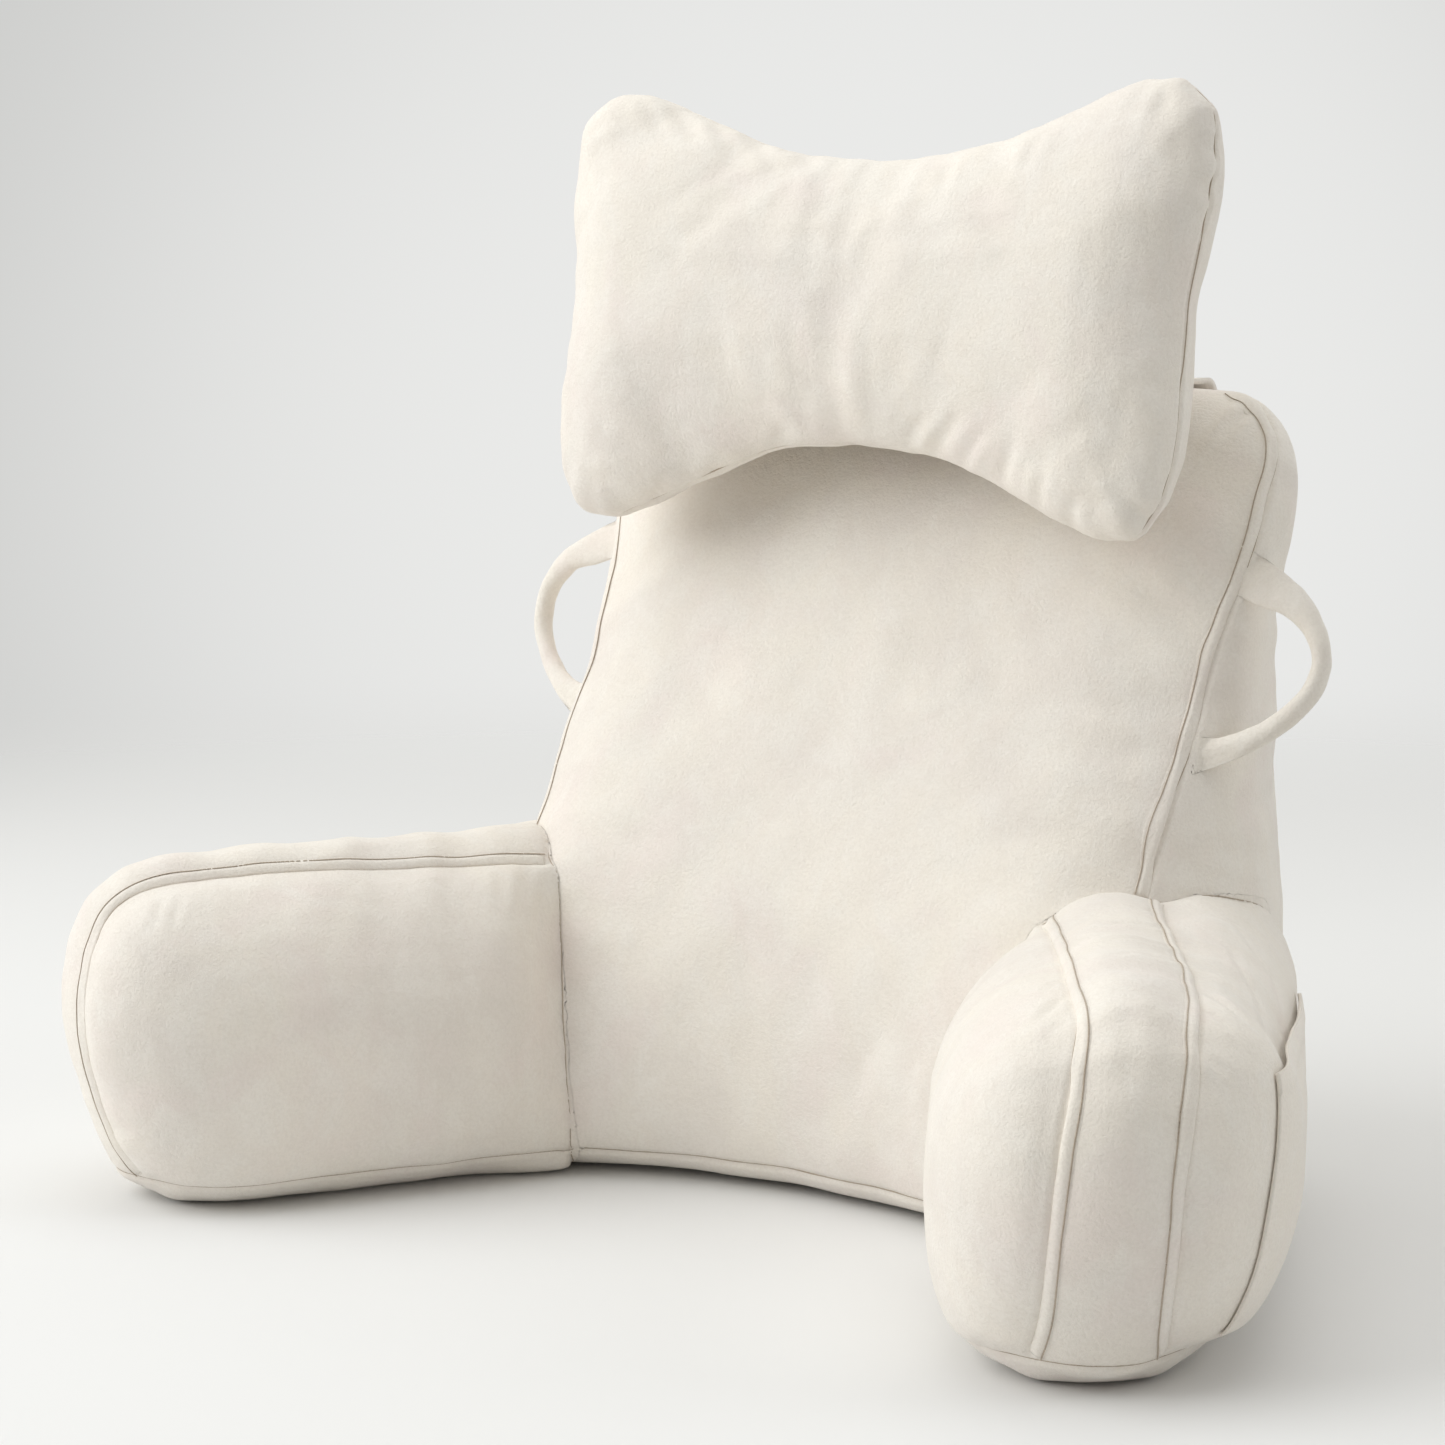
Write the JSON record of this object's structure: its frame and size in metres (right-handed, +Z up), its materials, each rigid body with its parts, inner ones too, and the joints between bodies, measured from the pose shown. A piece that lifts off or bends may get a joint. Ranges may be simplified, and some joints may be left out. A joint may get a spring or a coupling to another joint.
{
  "type": "backrest pillow",
  "caption": "Wedge-shaped filled backrest pillow with two splayed arms, a bow-tie headrest over the top edge, cloth side handles and a patch pocket on one arm.",
  "frame": {"origin": "centre of the back cushion's underside, on the floor", "axes": "+X to the right arm, the one with the pocket; -Y to the front, where the user sits; +Z up"},
  "size_m": [0.8578, 0.5654, 0.7081],
  "materials": {
    "cream_cloth": "short soft pile",
    "cream_cloth_light": "short soft pile",
    "cream_cloth_warm": "short soft pile"
  },
  "bodies": {
    "root": {"back_cushion": "cream_cloth", "arm_right": "cream_cloth_light", "arm_left": "cream_cloth_light", "headrest": "cream_cloth_light", "headrest_strap": "cream_cloth_warm", "handle_right": "cream_cloth_warm", "handle_left": "cream_cloth_warm", "pocket": "cream_cloth_warm"}
  },
  "joints": []
}
